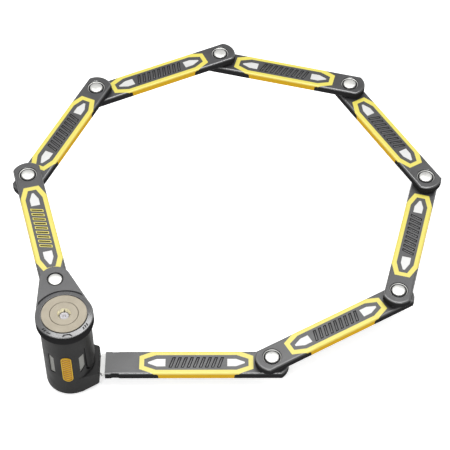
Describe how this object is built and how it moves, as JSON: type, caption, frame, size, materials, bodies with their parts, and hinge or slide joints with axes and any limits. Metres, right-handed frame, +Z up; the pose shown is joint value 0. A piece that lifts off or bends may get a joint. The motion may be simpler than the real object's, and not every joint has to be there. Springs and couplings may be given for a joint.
{
  "type": "folding bike lock",
  "caption": "Folding bicycle lock: coated steel plates riveted end to end under a keyed cylinder head, laid out as an open ring with its bare steel nose at the head's mouth.",
  "frame": {"origin": "centre of the lock head's flat base", "axes": "+Z up along the key cylinder's axis, +X out of the mouth that takes the last plate, -Y towards the badge"},
  "size_m": [0.3322, 0.3179, 0.0746],
  "materials": {
    "link_coating": "fine grain, matte",
    "link_band": "satin yellow",
    "plate_steel": "bright, bare",
    "rivet_steel": "bright, formed",
    "washer": "black",
    "lug_coating": "dark matte coat",
    "bezel": "satin",
    "face_metal": "satin, warm",
    "housing_plastic": "matte",
    "case_steel": "satin",
    "insert_steel": "satin, flush in the shell",
    "badge": "satin orange-yellow",
    "inner_steel": "machined",
    "shutter_steel": "polished"
  },
  "bodies": {
    "lock_body": {"lug_plate": "lug_coating", "bezel_ring": "bezel", "face_disc": "face_metal", "housing_shell": "housing_plastic", "steel_case": "case_steel", "slot_block": "case_steel", "badge": "badge", "bottom_cap": "housing_plastic", "cap_screws": "inner_steel", "side_insert_left": "insert_steel", "side_insert_right": "insert_steel", "rivet_1": "rivet_steel", "washer_1": "washer"},
    "link_1": {"link_1_core": "plate_steel", "link_1_cover": "link_coating", "link_1_band": "link_band", "rivet_2": "rivet_steel", "washer_2": "washer"},
    "link_2": {"link_2_core": "plate_steel", "link_2_cover": "link_coating", "link_2_band": "link_band", "rivet_3": "rivet_steel", "washer_3": "washer"},
    "link_3": {"link_3_core": "plate_steel", "link_3_cover": "link_coating", "link_3_band": "link_band", "rivet_4": "rivet_steel", "washer_4": "washer"},
    "link_4": {"link_4_core": "plate_steel", "link_4_cover": "link_coating", "link_4_band": "link_band", "rivet_5": "rivet_steel", "washer_5": "washer"},
    "link_5": {"link_5_core": "plate_steel", "link_5_cover": "link_coating", "link_5_band": "link_band", "rivet_6": "rivet_steel", "washer_6": "washer"},
    "link_6": {"link_6_core": "plate_steel", "link_6_cover": "link_coating", "link_6_band": "link_band", "rivet_7": "rivet_steel", "washer_7": "washer"},
    "link_7": {"link_7_core": "plate_steel", "link_7_cover": "link_coating", "link_7_band": "link_band", "rivet_8": "rivet_steel", "washer_8": "washer"},
    "link_8": {"link_8_core": "plate_steel", "link_8_cover": "link_coating", "link_8_band": "link_band"},
    "plug": {"key_plug": "face_metal", "detainer_stack": "inner_steel", "plug_tail": "inner_steel", "shutter_spring": "inner_steel"},
    "shutter": {"key_shutter": "shutter_steel"},
    "left_bolt": {"bolt_left": "inner_steel"},
    "right_bolt": {"bolt_right": "inner_steel"}
  },
  "joints": [
    {"name": "rivet_hinge_1", "type": "hinge", "parent": "lock_body", "child": "link_1", "pos_m": [-0.0086, 0.03255, 0.0648], "axis": [0, 0, 1], "range_deg": [0, 115]},
    {"name": "rivet_hinge_2", "type": "hinge", "parent": "link_1", "child": "link_2", "pos_m": [-0.03707, 0.1388, 0.0576], "axis": [0, 0, 1], "range_deg": [0, 180]},
    {"name": "rivet_hinge_3", "type": "hinge", "parent": "link_2", "child": "link_3", "pos_m": [0.00942, 0.2385, 0.0504], "axis": [0, 0, 1], "range_deg": [0, 220]},
    {"name": "rivet_hinge_4", "type": "hinge", "parent": "link_3", "child": "link_4", "pos_m": [0.10911, 0.28498, 0.0432], "axis": [0, 0, 1], "range_deg": [0, 220]},
    {"name": "rivet_hinge_5", "type": "hinge", "parent": "link_4", "child": "link_5", "pos_m": [0.21536, 0.25651, 0.036], "axis": [0, 0, 1], "range_deg": [0, 225]},
    {"name": "rivet_hinge_6", "type": "hinge", "parent": "link_5", "child": "link_6", "pos_m": [0.27036, 0.16125, 0.0288], "axis": [0, 0, 1], "range_deg": [0, 225]},
    {"name": "rivet_hinge_7", "type": "hinge", "parent": "link_6", "child": "link_7", "pos_m": [0.24189, 0.055, 0.0216], "axis": [0, 0, 1], "range_deg": [0, 225]},
    {"name": "rivet_hinge_8", "type": "hinge", "parent": "link_7", "child": "link_8", "pos_m": [0.14663, 0, 0.0144], "axis": [0, 0, 1], "range_deg": [0, 210]},
    {"name": "plug_turn", "type": "hinge", "parent": "lock_body", "child": "plug", "pos_m": [0, 0, 0.07], "axis": [0, 0, 1], "range_deg": [0, 90]},
    {"name": "shutter_push", "type": "slide", "parent": "plug", "child": "shutter", "axis": [0, 0, -1], "range_m": [0, 0.006], "stiffness_N_per_m": 150, "springref_m": -0.002, "deforming": ["shutter_spring"]},
    {"name": "left_bolt_slide", "type": "slide", "parent": "lock_body", "child": "left_bolt", "axis": [0, -1, 0], "range_m": [0, 0.0015]},
    {"name": "right_bolt_slide", "type": "slide", "parent": "lock_body", "child": "right_bolt", "axis": [0, 1, 0], "range_m": [0, 0.0015]}
  ],
  "couplings": [
    {"joint": "left_bolt_slide", "follows": "plug_turn", "m_per_rad": 0.00095483},
    {"joint": "right_bolt_slide", "follows": "plug_turn", "m_per_rad": 0.00095483}
  ]
}
